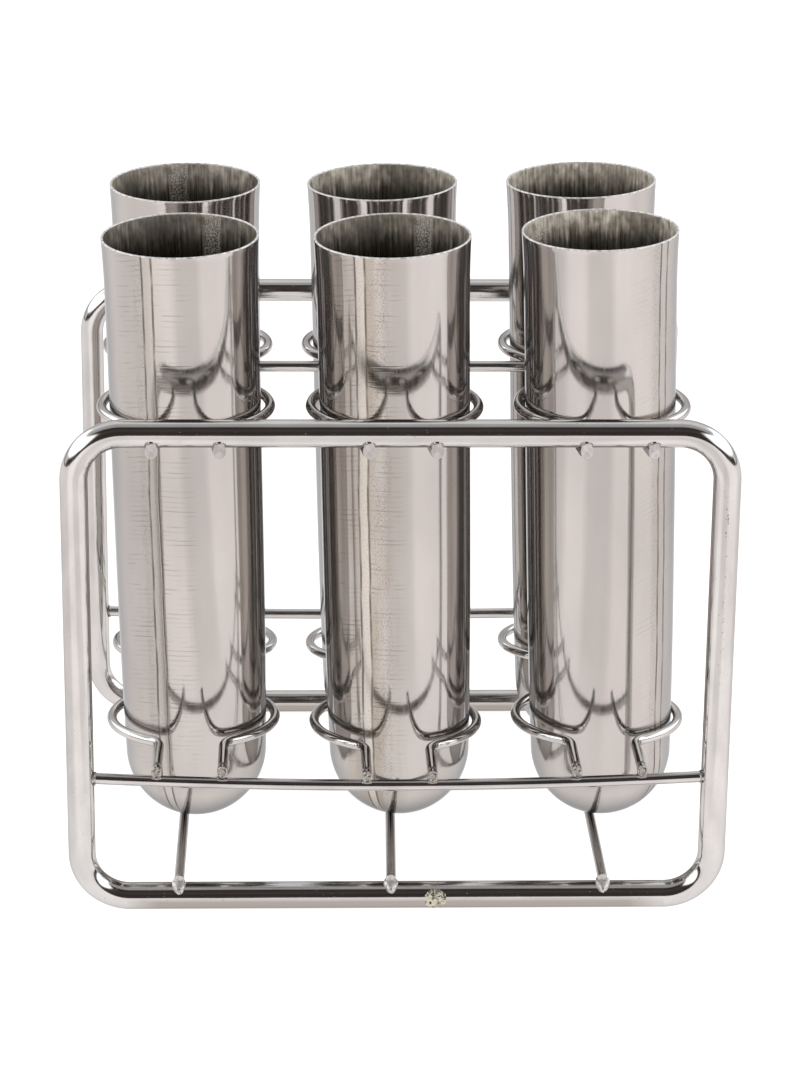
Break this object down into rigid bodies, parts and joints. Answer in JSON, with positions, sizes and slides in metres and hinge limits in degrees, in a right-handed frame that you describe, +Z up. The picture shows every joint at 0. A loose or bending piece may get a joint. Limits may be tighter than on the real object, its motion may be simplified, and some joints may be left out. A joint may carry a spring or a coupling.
{
  "type": "ice pop mould",
  "caption": "Stainless steel ice pop mould: round-bottomed tapered tubes that stand loose in two rows in a welded wire rack with rounded end loops.",
  "frame": {"origin": "under the middle of the rack, on the surface that it stands on", "axes": "+Z up, the front of the rack faces -Y, +X to the right seen from the front"},
  "size_m": [0.1469, 0.118, 0.1471],
  "materials": {
    "loop_rod": "polished",
    "crossbar_rod": "polished",
    "bottom_rod": "polished",
    "ring_wire": "polished",
    "tube": "polished"
  },
  "bodies": {
    "rack": {"front_loop": "loop_rod", "back_loop": "loop_rod", "front_lower_crossbar": "crossbar_rod", "back_lower_crossbar": "crossbar_rod", "middle_upper_crossbar": "crossbar_rod", "bottom_rod_left": "bottom_rod", "bottom_rod_middle": "bottom_rod", "bottom_rod_right": "bottom_rod", "upper_ring_front_left": "ring_wire", "upper_ring_front_middle": "ring_wire", "upper_ring_front_right": "ring_wire", "upper_ring_back_left": "ring_wire", "upper_ring_back_middle": "ring_wire", "upper_ring_back_right": "ring_wire", "lower_ring_front_left": "ring_wire", "lower_ring_front_middle": "ring_wire", "lower_ring_front_right": "ring_wire", "lower_ring_back_left": "ring_wire", "lower_ring_back_middle": "ring_wire", "lower_ring_back_right": "ring_wire"},
    "tube_front_left": {"tube_front_left": "tube"},
    "tube_front_middle": {"tube_front_middle": "tube"},
    "tube_front_right": {"tube_front_right": "tube"},
    "tube_back_left": {"tube_back_left": "tube"},
    "tube_back_middle": {"tube_back_middle": "tube"},
    "tube_back_right": {"tube_back_right": "tube"}
  },
  "joints": [
    {"name": "lift_tube_front_left", "type": "slide", "parent": "rack", "child": "tube_front_left", "axis": [-0.0189, -0.0239, 0.9995], "range_m": [0, 0.145]},
    {"name": "lift_tube_front_middle", "type": "slide", "parent": "rack", "child": "tube_front_middle", "axis": [-0.0218, -0.0235, 0.9995], "range_m": [0, 0.145]},
    {"name": "lift_tube_front_right", "type": "slide", "parent": "rack", "child": "tube_front_right", "axis": [-0.0286, -0.0029, 0.9996], "range_m": [0, 0.145]},
    {"name": "lift_tube_back_left", "type": "slide", "parent": "rack", "child": "tube_back_left", "axis": [-0.0094, -0.0131, 0.9999], "range_m": [0, 0.145]},
    {"name": "lift_tube_back_middle", "type": "slide", "parent": "rack", "child": "tube_back_middle", "axis": [-0.0229, 0.0037, 0.9997], "range_m": [0, 0.145]},
    {"name": "lift_tube_back_right", "type": "slide", "parent": "rack", "child": "tube_back_right", "axis": [-0.0278, 0.009, 0.9996], "range_m": [0, 0.145]}
  ]
}
